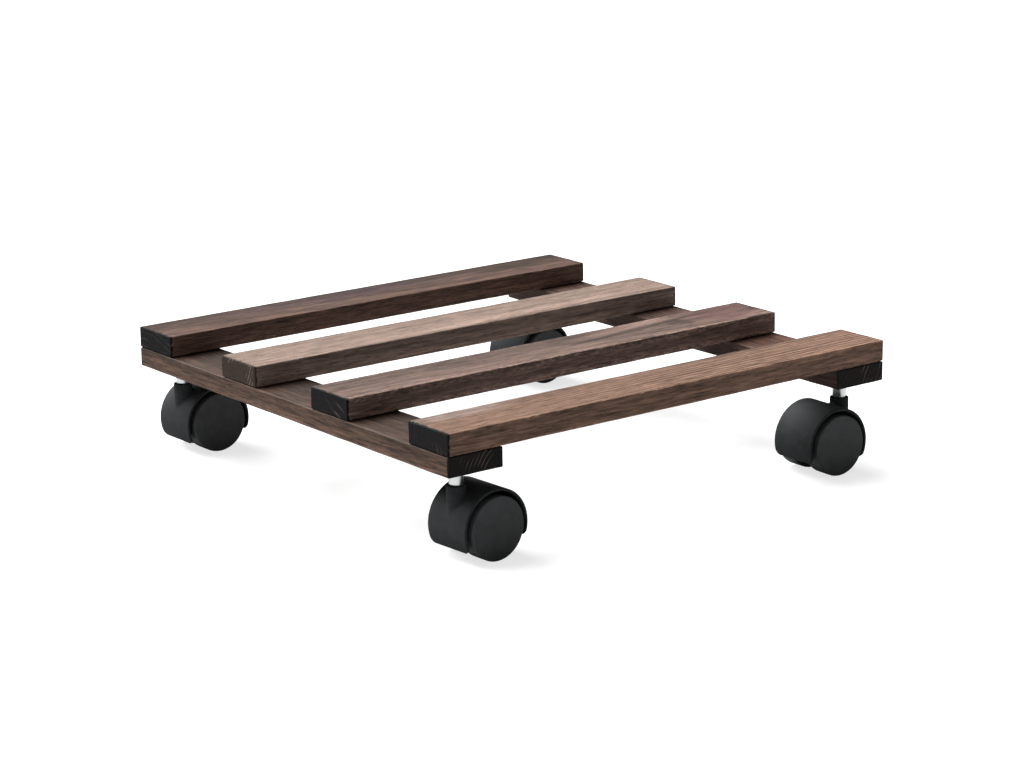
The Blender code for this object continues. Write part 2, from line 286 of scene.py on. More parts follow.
grain = {
    # noises: waves per metre along the board, across it and through it
    "ringWander": (3.5, 24, 24),
    "ringShift": (1.2, 60, 60),
    "ringPatches": (5, 90, 90),
    "fibre": (62, 820, 820),
    "streak": (16, 290, 290),
    "pores": (130, 1300, 1300),
    "blotch": (10, 50, 60),
    "endCreep": (8, 500, 500),
    "endSpeckle": (900, 900, 900),
    "endRims": (1, 75, 75),
    # specks along the eased edges: partly wear, partly painted highlight
    "wear": (210, 620, 620),
    # steps: where each starts and ends, and the values there if they aren't 0 and 1
    "knotStep": (0.35, 1.0, 1.0, 0.0),
    "lateStep": (0.3, 0.85),
    "yearEndStep": (0.9, 1.0, 1.0, 0.0),
    "ringPatchStep": (0.35, 0.6, 0.45, 1.25),
    "topStep": (-0.0016, -0.0004),
    "patchStep": (0.35, 0.55, 0.45, 1.0),
    "poreStep": (0.56, 0.68),
    "flameStep": (0.25, 1.0, 1.0, 0.0),
    "flameShadeStep": (0.35, 1.0, 0.7, 0.0),
    "endStep": (0.0, 0.0008),
    "rimStep": (0.66, 0.9),
    "rimPatchStep": (0.48, 0.7),
    "wearStep": (0.46, 0.58),
    # colour
    "seedShift": (0.91, 0.53, 0.37),
    "ringShiftGain": 1.3,
    "fibreWeight": 2.7,
    "streakWeight": 1.7,
    "fibreLevel": -2.2,
    "fibreGain": 3.0,
    "blotchGain": 3.0,
    "poreShade": -0.42,
    "flameBend": 1.2,
    "flameShadeSize": (0.8, 2.2, 1),
    "flameShadePlace": (0, 2.0, 0),
    "endCreepDepth": 0.0036,
    "endSpeckleGain": 1.3,
    # roughness and relief
    "roughness": 0.42,
    "fibreRoughness": 0.24,
    "endRoughness": 0.2,
    "ringHeight": 0.3,
    "fibreHeight": 0.9,
    "poreHeight": -0.5,
}


def growthRings(tree, given, own, place):
    # how far through its year each point is, from 0 to 1, and how near the knot it is
    lean = scaled(tree, given["Pith slope"], partsOf(tree, own)["X"])
    fromPith = calcVector(tree, "SUBTRACT", own, calcVector(tree, "ADD", given["Pith"], lean))
    radius = lengthOf(tree, calcVector(tree, "MULTIPLY", fromPith, (0, 1, 1)))
    wander = swing(tree, place, grain["ringWander"])
    radius = calc(tree, "MULTIPLY_ADD", wander, given["Wander"], radius)
    fromKnot = calcVector(tree, "SUBTRACT", own, given["Knot place"])
    fromKnot = calcVector(tree, "DIVIDE", fromKnot, given["Knot size"])
    nearKnot = ease(tree, lengthOf(tree, fromKnot), *grain["knotStep"])
    radius = calc(tree, "MULTIPLY_ADD", nearKnot, given["Knot bend"], radius)
    rings = calc(tree, "DIVIDE", radius, given["Ring spacing"])
    shift = times(tree, cloud(tree, place, grain["ringShift"], detail=1.0), grain["ringShiftGain"])
    return calc(tree, "FRACT", calc(tree, "ADD", rings, shift)), nearKnot


def flameTone(tree, given, own, streak):
    # a paler flame that runs aslant, with a dark line under it
    place = calcVector(tree, "SUBTRACT", own, given["Flame place"])
    aslant = times(tree, partsOf(tree, place)["X"], given["Flame lean"])
    place = calcVector(tree, "SUBTRACT", place, scaled(tree, (0, 1, 0), aslant))
    place = calcVector(tree, "DIVIDE", place, given["Flame size"])
    bend = times(tree, calc(tree, "SUBTRACT", streak, 0.5), grain["flameBend"])
    pale = ease(tree, calc(tree, "ADD", lengthOf(tree, place), bend), *grain["flameStep"])
    under = calcVector(tree, "MULTIPLY", place, grain["flameShadeSize"])
    under = calcVector(tree, "ADD", under, grain["flameShadePlace"])
    dark = ease(tree, calc(tree, "ADD", lengthOf(tree, under), bend), *grain["flameShadeStep"])
    return times(tree, calc(tree, "SUBTRACT", pale, dark), given["Flame"])


def stainedWoodGroup():
    tree, given, own = makeGroup(
        "stained softwood",
        colours=("Early wood", "Late wood", "End wood", "End rings", "Patch colour"),
        vectors=("Half size", "Tone drift", "Pith", "Pith slope", "Knot place", "Knot size",
                 "Flame place", "Flame size"),
        numbers=("Ring spacing", "Ring strength", "Ring drift", "Side rings", "Wander", "Fibre", "Blotch",
                 "Wear", "Wear width", "Knot bend", "Patch share", "Flame lean", "Flame", "Seed"))
    place = calcVector(tree, "ADD", own, scaled(tree, grain["seedShift"], given["Seed"]))
    share = calcVector(tree, "DIVIDE", own, given["Half size"])    # -1 to 1 over the board
    pastEdge = calcVector(tree, "SUBTRACT", calcVector(tree, "ABSOLUTE", own), given["Half size"])
    pastEdge = partsOf(tree, pastEdge)

    # growth rings, which show less on the board's sides
    phase, nearKnot = growthRings(tree, given, own, place)
    yearEnd = ease(tree, phase, *grain["yearEndStep"])
    late = times(tree, ease(tree, phase, *grain["lateStep"]), yearEnd)
    along = partsOf(tree, share)["X"]
    showing = calc(tree, "MULTIPLY_ADD", along, given["Ring drift"], given["Ring strength"])
    patchy = ease(tree, cloud(tree, place, grain["ringPatches"]), *grain["ringPatchStep"])
    lateShare = calc(tree, "MULTIPLY", late, times(tree, showing, patchy), clamp=True)
    onTop = ease(tree, pastEdge["Z"], *grain["topStep"])
    lateShare = times(tree, lateShare, calc(tree, "MAXIMUM", onTop, given["Side rings"]))
    colour = mixColour(tree, lateShare, given["Early wood"], given["Late wood"])

    # the patch of stain round the knot
    streak = cloud(tree, place, grain["streak"], detail=4.0, roughness=0.68)
    patch = times(tree, nearKnot, given["Patch share"], ease(tree, streak, *grain["patchStep"]))
    colour = mixColour(tree, patch, colour, given["Patch colour"])

    # the flame, fibres, uneven take-up of the stain, dark pores, and the tone over the board, which on the
    # rails is painted shade on the inner faces and the left rail's top and painted light on the left rail's
    # outer face
    fibre = cloud(tree, place, grain["fibre"], detail=3.0, roughness=0.65)
    fine = calc(tree, "MULTIPLY_ADD", fibre, grain["fibreWeight"], grain["fibreLevel"])
    fine = calc(tree, "MULTIPLY_ADD", streak, grain["streakWeight"], fine)
    blotch = swing(tree, place, grain["blotch"], detail=4.0, roughness=0.62)
    pores = ease(tree, cloud(tree, place, grain["pores"]), *grain["poreStep"])
    for change in (
        flameTone(tree, given, own, streak),
        times(tree, fine, given["Fibre"], grain["fibreGain"]),
        times(tree, blotch, given["Blotch"], grain["blotchGain"]),
        times(tree, pores, grain["poreShade"]),
        calcVector(tree, "DOT_PRODUCT", share, given["Tone drift"], output="Value"),
    ):
        colour = brighten(tree, colour, change)

    # sawn ends drink the stain, and some of their hard rings stay paler
    creep = times(tree, cloud(tree, place, grain["endCreep"]), grain["endCreepDepth"])
    atEnd = ease(tree, calc(tree, "ADD", pastEdge["X"], creep), *grain["endStep"])
    speckle = swing(tree, place, grain["endSpeckle"], detail=3.0, roughness=0.7)
    rims = ease(tree, cloud(tree, place, grain["endRims"], detail=1.0), *grain["rimPatchStep"])
    rims = times(tree, ease(tree, phase, *grain["rimStep"]), yearEnd, rims)
    endColour = mixColour(tree, rims, given["End wood"], given["End rings"])
    endColour = brighten(tree, endColour, times(tree, speckle, grain["endSpeckleGain"]))
    colour = mixColour(tree, atEnd, colour, endColour)

    # the eased long edges, paler in specks: partly rubbed wear, partly a painted highlight along the arrises
    inFromEdge = calc(tree, "DIVIDE", calc(tree, "ADD", pastEdge["Y"], pastEdge["Z"]), given["Wear width"])
    edge = calc(tree, "ADD", inFromEdge, 1.0, clamp=True)
    rubbedAndHighlit = cloud(tree, place, grain["wear"], detail=3.0, roughness=0.65)
    rubbedAndHighlit = ease(tree, rubbedAndHighlit, *grain["wearStep"])
    offEnd = calc(tree, "SUBTRACT", 1.0, atEnd)
    colour = brighten(tree, colour, times(tree, edge, rubbedAndHighlit, offEnd, given["Wear"]))

    roughness = calc(tree, "MULTIPLY_ADD", fibre, grain["fibreRoughness"], grain["roughness"])
    roughness = calc(tree, "MULTIPLY_ADD", atEnd, grain["endRoughness"], roughness)
    height = calc(tree, "MULTIPLY_ADD", late, grain["ringHeight"], times(tree, fibre, grain["fibreHeight"]))
    height = calc(tree, "MULTIPLY_ADD", pores, grain["poreHeight"], height)
    height = calc(tree, "MULTIPLY_ADD", speckle, atEnd, height)
    return giveOut(tree, colour, roughness, height)


# Moulded nylon: a fine spark-eroded skin with faint cloudy flow marks

nylonSkin = {
    "flow": (150, 110, 150),        # noises, in waves per metre
    "scuffs": (420, 260, 520),
    "grain": (2600, 2600, 2600),
    "scuffStep": (0.64, 0.74),
    "flowGain": 2.0,
    "scuffShade": 0.18,
    "flowRoughness": 0.22,
    "scuffRoughness": 0.06,
}


def nylonGroup():
    tree, given, own = makeGroup("moulded nylon", colours=("Base",), numbers=("Flow", "Grain", "Polish"))
    flow = swing(tree, own, nylonSkin["flow"], detail=3.0, roughness=0.55)
    scuffs = ease(tree, cloud(tree, own, nylonSkin["scuffs"]), *nylonSkin["scuffStep"])
    skin = cloud(tree, own, nylonSkin["grain"], roughness=0.6)
    colour = brighten(tree, given["Base"], times(tree, flow, given["Flow"], nylonSkin["flowGain"]))
    colour = brighten(tree, colour, times(tree, scuffs, nylonSkin["scuffShade"]))
    roughness = calc(tree, "MULTIPLY_ADD", flow, nylonSkin["flowRoughness"], given["Polish"])
    roughness = calc(tree, "MULTIPLY_ADD", scuffs, nylonSkin["scuffRoughness"], roughness)
    return giveOut(tree, colour, roughness, times(tree, skin, given["Grain"]))


# Plated and bare steel: fine turning marks round the piece and a patchy bloom

steelSkin = {
    "marks": (60, 60, 5200),        # noises, in waves per metre
    "bloom": (260, 260, 260),
    "bloomStep": (0.42, 0.68),
    "markRoughness": 0.12,
    "bloomRoughness": 0.3,
}


def steelGroup():
    tree, given, own = makeGroup("worked steel", colours=("Base", "Bloom"),
                                 numbers=("Bloom share", "Polish", "Turning"))
    marks = cloud(tree, own, steelSkin["marks"], roughness=0.6)
    bloom = cloud(tree, own, steelSkin["bloom"], detail=3.0, roughness=0.6)
    share = times(tree, ease(tree, bloom, *steelSkin["bloomStep"]), given["Bloom share"])
    colour = mixColour(tree, share, given["Base"], given["Bloom"])
    roughness = calc(tree, "MULTIPLY_ADD", share, steelSkin["bloomRoughness"], given["Polish"])
    roughness = calc(tree, "MULTIPLY_ADD", marks, steelSkin["markRoughness"], roughness)
    return giveOut(tree, colour, roughness, times(tree, marks, given["Turning"]))


# Mesh helpers

def meshFrom(bm, name, sharp=crease):
    bmesh.ops.recalc_face_normals(bm, faces=bm.faces[:])
    mesh = bpy.data.meshes.new(name)
    bm.to_mesh(mesh)
    bm.free()
    mesh.shade_smooth()
    mesh.set_sharp_from_angle(angle=math.radians(sharp))
    return mesh


def ringMesh(name, loops, closed=False, capped=True, sharp=crease):
    # skins a row of loops that all have the same number of points
    bm = bmesh.new()
    rows = [[bm.verts.new(point) for point in loop] for loop in loops]
    pairs = list(zip(rows, rows[1:]))
    if closed:
        pairs.append((rows[-1], rows[0]))
    for one, two in pairs:
        for index in range(len(one)):
            following = (index + 1) % len(one)
            bm.faces.new((one[index], one[following], two[following], two[index]))
    if capped:
        bm.faces.new(rows[0])
        bm.faces.new(rows[-1])
    return meshFrom(bm, name, sharp)


def turned(name, profile, sides=64, sharp=crease):
    # profile points are (radius, height); a radius of 0 closes the piece on its axis
    bm = bmesh.new()
    verts = [bm.verts.new((radius, 0, height)) for radius, height in profile]
    edges = [bm.edges.new(pair) for pair in zip(verts, verts[1:])]
    if profile[0][0] > 0:
        edges.append(bm.edges.new((verts[-1], verts[0])))
    bmesh.ops.spin(bm, geom=verts + edges, axis=(0, 0, 1), cent=(0, 0, 0),
                   steps=sides, angle=math.tau, use_merge=True)
    bmesh.ops.remove_doubles(bm, verts=bm.verts[:], dist=weld)
    return meshFrom(bm, name, sharp)


def rounded(profile, radii, steps=4):
    # replaces each corner of an open profile that has a radius by an arc
    result = []
    for index, point in enumerate(profile):
        radius = radii.get(index, 0)
        if not radius:
            result.append(point)
            continue
        corner = Vector(point)
        before = (Vector(profile[index - 1]) - corner).normalized()
        after = (Vector(profile[(index + 1) % len(profile)]) - corner).normalized()
        half = before.angle(after) / 2
        reach = radius / math.tan(half)
        centre = corner + (before + after).normalized() * radius / math.sin(half)
        start = corner + before * reach - centre
        sweep = start.angle_signed(corner + after * reach - centre)
        for step in range(steps + 1):
            turn = Matrix.Rotation(-sweep * step / steps, 2)
            result.append(tuple(centre + turn @ start))
    return result


def pin(name, radius, low, high, easing=0, sides=64, steps=3):
    # a plain round bar on Z, with both rims eased
    profile = [(0, high), (radius, high), (radius, low), (0, low)]
    return turned(name, rounded(profile, {1: easing, 2: easing}, steps), sides)


def boxBetween(name, low, high):
    bm = bmesh.new()
    low, high = Vector(low), Vector(high)
    place = Matrix.Translation((low + high) / 2) @ Matrix.Diagonal((*(high - low), 1))
    bmesh.ops.create_cube(bm, size=1, matrix=place)
    return meshFrom(bm, name)


def merged(name, meshes):
    bm = bmesh.new()
    for mesh in meshes:
        bm.from_mesh(mesh)
    return meshFrom(bm, name)


def moved(mesh, place):
    mesh.transform(place)
    return mesh


def fitted(name, base, added=(), removed=(), sharp=crease):
    # one clean mesh: the base with some shapes added and some cut away
    work = inScene(bpy.data.objects.new(name, base))
    helpers = [work]
    for operation, meshes in (("UNION", added), ("DIFFERENCE", removed)):
        for mesh in meshes:
            helper = inScene(bpy.data.objects.new(mesh.name, mesh))
            helpers.append(helper)
            cut = work.modifiers.new(mesh.name, "BOOLEAN")
            cut.operation = operation
            cut.solver = "EXACT"
            cut.object = helper
    shape = work.evaluated_get(bpy.context.evaluated_depsgraph_get())
    bm = bmesh.new()
    bm.from_mesh(shape.to_mesh())
    shape.to_mesh_clear()
    for helper in helpers:
        bpy.data.objects.remove(helper, do_unlink=True)
    bmesh.ops.remove_doubles(bm, verts=bm.verts[:], dist=weld)
    return meshFrom(bm, name, sharp)


def addPiece(name, mesh, material, place, body, node):
    if not mesh.materials:
        mesh.materials.append(material)
    piece = inScene(bpy.data.objects.new(name, mesh))
    piece.matrix_world = place
    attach(piece, body)
    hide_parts(node)


def middleOf(node):
    low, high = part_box(node)
    return (low + high) / 2


def standAt(node, height=0):
    # upright under the middle of a CAD piece, on the floor or at a height
    middle = middleOf(node)
    return Matrix.Translation((middle.x, middle.y, height))


# Boards

board = {
    "arris": 0.0009,        # rounding of the edges
    "arrisCuts": (0, 0.15, 0.4, 0.7, 1.05, 1.7),    # where the mesh is cut there, in arrises
    "arrisWander": 0.5,     # how unevenly the edges were eased
    "arrisWaves": (70, 70, 70),
    "step": 0.005,          # mesh spacing along the grain
    "acrossStep": 0.002,
    "wash": 0.00016,        # how far the planed faces dip
    "washWaves": (9, 120, 120),
    "sawMarks": 0.00018,    # how far the sawn ends dip
    "sawWaves": (20, 500, 90),
    "seedShift": (7.1, 3.3, 0),
    "sharp": 60,
    "specular": 0.12,
    "relief": 0.35,
    "reliefDepth": 0.0004,
}

# The pith is (across, up) from the middle of the board, lean is how far it drifts
# (across, up) from one end to the other, and tone is how much paler the board gets along
# its own X, Y and Z; on the rails it is painted shade on the inner faces and the left rail's top,
# and painted light on the left rail's outer face. Pith, lean, spacing, wander and the width of the
# rubbed, highlit edges are millimetres, and the places and sizes of knots and flames are metres.
plainLook = {    # what a board has unless its own look says otherwise
    "end": "0A0808", "endRings": "453A35", "sideRings": 0.6,
    "knotPlace": (0, 0, 0), "knotSize": (0.05, 0.02, 0.02), "knotBend": 0.0, "patchShare": 0.0,
    "flamePlace": (0, 0, 0), "flameSize": (0.06, 0.006, 0.05), "flameLean": 0.0, "flame": 0.0,
}

boardLooks = {
    "slat_front": {
        "early": "6E5547", "late": "392B23", "patch": "7F706A",
        "pith": (-55, 20), "lean": (3, 2), "spacing": 3.5, "rings": 0.65, "ringDrift": 0.5, "wander": 2.0,
        "sideRings": 0.25, "tone": (0.13, -0.05, -0.05), "fibre": 0.34, "blotch": 0.10,
        "wear": 1.1, "wearWidth": 1.8, "knotPlace": (-0.145, 0.016, 0.006),
        "knotSize": (0.055, 0.014, 0.014), "knotBend": 0.004, "patchShare": 0.65,
    },
    "slat_mid_front": {
        "early": "5C4B44", "late": "392D29", "patch": "583D3C",
        "pith": (8, -34), "lean": (-6, 26), "spacing": 6.5, "rings": 0.4, "ringDrift": 0.35, "wander": 5.0,
        "tone": (0.07, -0.25, -0.1), "fibre": 0.28, "blotch": 0.14, "wear": 1.1, "wearWidth": 6.0,
        "knotPlace": (0.15, 0.004, 0.006), "knotSize": (0.045, 0.026, 0.03),
        "knotBend": 0.006, "patchShare": 0.75,
        "flamePlace": (0.072, 0.012, 0.006), "flameSize": (0.07, 0.009, 0.05),
        "flameLean": 0.12, "flame": 0.75,
    },
    "slat_mid_back": {
        "early": "78665C", "late": "483D36", "patch": "8A7362",
        "pith": (46, 30), "lean": (-4, 0), "spacing": 2.6, "rings": 0.35, "ringDrift": 0.2, "wander": 2.5,
        "tone": (0.02, -0.08, -0.06), "fibre": 0.28, "blotch": 0.09, "wear": 0.6, "wearWidth": 1.4,
        "end": "30261F", "endRings": "9C8878",
        "flamePlace": (0.03, -0.012, 0.006), "flameSize": (0.16, 0.006, 0.05),
        "flameLean": 0.02, "flame": 0.3,
    },
    "slat_back": {
        "early": "4C3931", "late": "2B1F19", "patch": "4C3A3F",
        "pith": (12, -64), "lean": (0, 10), "spacing": 4.2, "rings": 0.4, "ringDrift": 0.0, "wander": 4.0,
        "tone": (-0.03, -0.44, -0.18), "fibre": 0.36, "blotch": 0.14, "wear": 0.8, "wearWidth": 1.4,
        "end": "070606", "endRings": "2B2523",
        "knotPlace": (-0.02, 0.008, 0.007), "knotSize": (0.14, 0.012, 0.014),
        "knotBend": 0.002, "patchShare": 0.5,
    },
    # its tone drift paints shade on its top and inner face and paints light on its outer face
    "rail_left": {
        "early": "47362D", "late": "281E18", "patch": "53332C",
        "pith": (-46, -30), "lean": (4, 0), "spacing": 2.8, "rings": 0.5, "ringDrift": 0.0, "wander": 3.0,
        "tone": (0.0, 0.32, -0.46), "fibre": 0.40, "blotch": 0.16, "wear": 0.5, "wearWidth": 1.4,
        "end": "181615", "endRings": "5E5048",
    },
    # its tone drift paints shade on its inner face, under the slats
    "rail_right": {
        "early": "4B3932", "late": "2D221D", "patch": "46291F",
        "pith": (52, 34), "lean": (0, 4), "spacing": 3.2, "rings": 0.4, "ringDrift": 0.0, "wander": 3.0,
        "tone": (0.0, -0.15, 0.05), "fibre": 0.34, "blotch": 0.2, "wear": 0.4, "wearWidth": 1.2,
        "end": "1C1918", "endRings": "65574E", "knotPlace": (-0.11, 0.0, 0.006),
        "knotSize": (0.07, 0.03, 0.012), "knotBend": 0.003, "patchShare": 0.6,
    },
}


def cutLine(side, step):
    # where a side is cut: close together near its arrises, evenly spaced between them
    edge = [board["arris"] * share - side / 2 for share in board["arrisCuts"]]
    inner = -edge[-1]
    count = max(1, round(2 * inner / step))
    middle = [-inner + 2 * inner * index / count for index in range(count + 1)]
    return edge[:-1] + middle + [-value for value in reversed(edge[:-1])]


def waveAt(point, waves, drift):
    # smooth noise from -1 to 1, with so many waves per metre
    return noise.noise(point * Vector(waves) + drift)


def dipAt(point, depth, waves, drift):
    # the same noise as a depth, from 0 to the whole of it
    return depth * (0.5 + 0.5 * waveAt(point, waves, drift))


def easedPoint(point, half, seed):
    # draws a point of a plain box in, to eased arrises and slightly uneven faces
    drift = Vector(board["seedShift"]) * seed
    arris = board["arris"] * (1 + board["arrisWander"] * waveAt(point, board["arrisWaves"], drift))
    core = Vector([max(arris - h, min(h - arris, value)) for value, h in zip(point, half)])
    out = point - core
    if out.length < weld:
        return point
    out.normalize()
    sawn = abs(out.x) ** 4    # 1 on the ends and nearly nothing elsewhere
    dip = dipAt(point, board["wash"], board["washWaves"], drift)
    dip += dipAt(point, board["sawMarks"] * sawn, board["sawWaves"], drift)
    return core + out * (arris - dip)


def boardMesh(name, size, seed):
    steps = (board["step"], board["acrossStep"], board["acrossStep"])
    cuts = [cutLine(side, step) for side, step in zip(size, steps)]
    last = [len(line) - 1 for line in cuts]
    half = size / 2
    bm = bmesh.new()
    known = {}

    def vertAt(index):
        if index not in known:
            point = Vector([line[i] for line, i in zip(cuts, index)])
            known[index] = bm.verts.new(easedPoint(point, half, seed))
        return known[index]

    for axis in range(3):
        one, two = [other for other in range(3) if other != axis]
        for end in (0, last[axis]):
            for a in range(last[one]):
                for b in range(last[two]):
                    quad = []
                    for stepOne, stepTwo in ((0, 0), (1, 0), (1, 1), (0, 1)):
                        index = [0, 0, 0]
                        index[axis] = end
                        index[one] = a + stepOne
                        index[two] = b + stepTwo
                        quad.append(vertAt(tuple(index)))
                    bm.faces.new(quad)
    return meshFrom(bm, name, board["sharp"])


def boardHoles():
    # every screw hole and sleeve hole of the deck, open to the underside
    shapes = []
    for name in screws:
        low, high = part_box(name)
        head, shank = (high.x - low.x) / 2 + gap, screw["shank"] + gap
        start, top = low.z - overcut, high.z + gap
        profile = [(0, start), (head, start), (head, low.z + screw["rimHole"]),
                   (shank, low.z + head - shank), (shank, top), (0, top)]
        shapes.append(moved(turned("screw hole", profile, sides=32), standAt(name)))
    for corner in corners:
        name = f"castor_{corner}_sleeve"
        low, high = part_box(name)
        hole = pin("sleeve hole", sleeve["outer"] + gap, low.z - overcut, high.z + gap, sides=48)
        shapes.append(moved(hole, standAt(name)))
    return merged("deck holes", shapes)


def woodFor(name, size, seed, group):
    look = {**plainLook, **boardLooks[name]}
    millimetre = 0.001
    across, up = (value * millimetre for value in look["pith"])
    acrossLean, upLean = (value * millimetre / size.x for value in look["lean"])
    return finishFrom(name + " wood", group, {
        "Early wood": hexColour(look["early"]),
        "Late wood": hexColour(look["late"]),
        "End wood": hexColour(look["end"]),
        "End rings": hexColour(look["endRings"]),
        "Patch colour": hexColour(look["patch"]),
        "Half size": size / 2,
        "Tone drift": look["tone"],
        "Pith": (0, across, up),
        "Pith slope": (0, acrossLean, upLean),
        "Ring spacing": look["spacing"] * millimetre,
        "Ring strength": look["rings"],
        "Ring drift": look["ringDrift"],
        "Side rings": look["sideRings"],
        "Wander": look["wander"] * millimetre,
        "Fibre": look["fibre"],
        "Blotch": look["blotch"],
        "Wear": look["wear"],
        "Wear width": look["wearWidth"] * millimetre,
        "Knot place": look["knotPlace"],
        "Knot size": look["knotSize"],
        "Knot bend": look["knotBend"],
        "Patch share": look["patchShare"],
        "Flame place": look["flamePlace"],
        "Flame size": look["flameSize"],
        "Flame lean": look["flameLean"],
        "Flame": look["flame"],
        "Seed": seed,
    }, specular=board["specular"], bump=board["relief"], depth=board["reliefDepth"])


def makeBoards(group):
    holes = boardHoles()
    for seed, name in enumerate(slats + rails, start=1):
        low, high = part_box(name)
        size = high - low
        turn = Matrix.Identity(4)
        if name in rails:
            size = Vector((size.y, size.x, size.z))
            turn = Matrix.Rotation(math.radians(90), 4, "Z")
        place = Matrix.Translation((low + high) / 2) @ turn
        cutter = moved(holes.copy(), place.inverted())
        mesh = fitted(name + " board", boardMesh(name, size, seed), removed=[cutter], sharp=board["sharp"])
        wood = woodFor(name, size, seed, group)
        addPiece(name + "_board", mesh, wood, place, "deck", name)


# Wood screws

screw = {
    "shank": 0.00175,
    "core": 0.0012,
    "pitch": 0.0014,
    "ridge": 0.5,          # the thread's share of its pitch
    "headDepth": 0.0021,
    "headEasing": 0.0002,
    "headRim": 0.0004,
    "rimHole": 0.0001,     # depth of the countersink's straight rim
    "plain": 0.0035,       # plain shank between the head and the thread
    "point": 0.004,        # length of the taper
    "tip": 0.06,           # how blunt the tip is
    "recess": 0.0019,      # half of the cross's length
    "recessWidth": 0.0008,
    "recessDepth": 0.0014,
    "sides": 20,
    "rowsPerTurn": 7,
    "sharp": 30,
    "drive": 1.13,         # radians from one screw to the next, so no two are driven alike
}


def threadRadius(height, share, length):
    # a ridge that climbs round the core as share goes round a turn, thinner in the point
    turn = (height / screw["pitch"] - share) % 1.0
    ridge = max(0.0, 1 - abs(turn - 0.5) / (screw["ridge"] / 2))
    taper = min(1.0, (length - height) / screw["point"] + screw["tip"])
    return (screw["core"] + (screw["shank"] - screw["core"]) * ridge) * taper


def loopOf(radii, height):
    # a loop of points round Z, each at its own radius
    loop = []
    for side, radius in enumerate(radii):
        angle = math.tau * side / len(radii)
        loop.append((radius * math.cos(angle), radius * math.sin(angle), height))
    return loop


def screwMesh(length, head):
    # head down at z = 0, point up, with a thread that runs out into the point
    sides, shank = screw["sides"], screw["shank"]
    threadStart = screw["headDepth"] + screw["plain"]
    profile = [(head - screw["headEasing"], 0.0), (head, screw["headEasing"]), (head, screw["headRim"]),
               (shank, screw["headDepth"]), (shank, threadStart)]
    loops = [loopOf([radius] * sides, height) for radius, height in profile]
    rows = int((length - threadStart) / screw["pitch"] * screw["rowsPerTurn"])
    for row in range(1, rows + 1):
        height = threadStart + (length - threadStart) * row / rows
        loops.append(loopOf([threadRadius(height, side / sides, length) for side in range(sides)], height))
    body = ringMesh("screw body", loops, sharp=screw["sharp"])
    arm, width, depth = screw["recess"], screw["recessWidth"] / 2, screw["recessDepth"]
    one = boxBetween("slot one", (-arm, -width, -overcut), (arm, width, depth))
    two = boxBetween("slot two", (-width, -arm, -overcut), (width, arm, depth))
    return fitted("wood screw", body, removed=[fitted("recess", one, added=[two])], sharp=screw["sharp"])


def makeScrews(material):
    low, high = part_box(screws[0])
    mesh = screwMesh(high.z - low.z, (high.x - low.x) / 2)
    for number, name in enumerate(screws):
        turn = Matrix.Rotation(number * screw["drive"], 4, "Z")
        place = standAt(name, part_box(name)[0].z) @ turn
        addPiece("wood_" + name, mesh, material, place, "deck", name)


# Castors. Each is built in its own frame: swivel axis on Z, floor at z = 0, trailing to +X.

sampleCastor = "castor_front_left"    # the one whose sizes all four share
wheelSides = ("wheel_front", "wheel_back")
layOver = Matrix.Rotation(math.radians(90), 4, "X")    # from Z to the axle's direction


def castorStands():
    # swivel axis of each castor on the floor, and the middle of its axle seen from there
    stands = {}
    for joint in frame["joints"]:
        if joint["name"].endswith("_swivel"):
            corner = joint["name"].replace("_swivel", "")
            stand = Vector((*joint["pos_m"][:2], 0))
            stands[corner] = (stand, middleOf(f"castor_{corner}_axle") - stand)
    return stands


sleeve = {
    "bore": 0.0043,
    "outer": 0.0051,
    "flange": 0.0007,
    "easing": 0.0002,
    "mouthEasing": 0.0003,
}


def sleeveMesh(low, high):
    bore, outer, flange = sleeve["bore"], sleeve["outer"], (high.x - low.x) / 2
    top = low.z + sleeve["flange"]
    easing = sleeve["easing"]
    profile = [(bore, high.z), (outer, high.z), (outer, top), (flange, top), (flange, low.z), (bore, low.z)]
    eased = rounded(profile, {1: easing, 3: easing, 4: easing, 5: sleeve["mouthEasing"]}, steps=3)
    return turned("stem sleeve", eased, sides=56)


stem = {
    "journal": 0.0045,
    "shank": 0.0040,
    "collar": 0.0056,
    "collarThick": 0.0013,
    "collarEasing": 0.0003,
    "groove": 0.0032,
    "easing": 0.0004,
}


def stemMesh(low, high, flangeUnderside, ringLow, ringHigh):
    # journal below, collar under the sleeve, and the shank with its ring groove above
    journal, shank, collar, groove = (stem[key] for key in ("journal", "shank", "collar", "groove"))
    collarTop = flangeUnderside - gap
    collarFoot = collarTop - stem["collarThick"]
    profile = [(0, high.z), (shank, high.z), (shank, ringHigh), (groove, ringHigh), (groove, ringLow),
               (shank, ringLow), (shank, collarTop), (collar, collarTop), (collar, collarFoot),
               (journal, collarFoot), (journal, low.z), (0, low.z)]
    easing, collarEasing = stem["easing"], stem["collarEasing"]
    radii = {1: easing, 7: collarEasing, 8: collarEasing, 9: collarEasing, 10: easing}
    return turned("stem", rounded(profile, radii, steps=3))


gripRing = {
    "arc": 320,           # degrees of wire; the rest is its split
    "innerEasing": 0.00015,
    "outerEasing": 0.0002,
    "steps": 60,
}


def gripRingMesh(low, high):
    # a split ring of flat spring wire
    inner, outer = stem["groove"] + gap, stem["shank"]
    edge = [(inner, low.z), (outer, low.z), (outer, high.z), (inner, high.z)]
    innerEasing, outerEasing = gripRing["innerEasing"], gripRing["outerEasing"]
    section = rounded(edge, {0: innerEasing, 1: outerEasing, 2: outerEasing, 3: innerEasing}, steps=3)
    loops = []
    for step in range(gripRing["steps"] + 1):
        angle = math.radians(gripRing["arc"]) * step / gripRing["steps"]
        loops.append([(r * math.cos(angle), r * math.sin(angle), z) for r, z in section])
    return ringMesh("grip ring", loops)


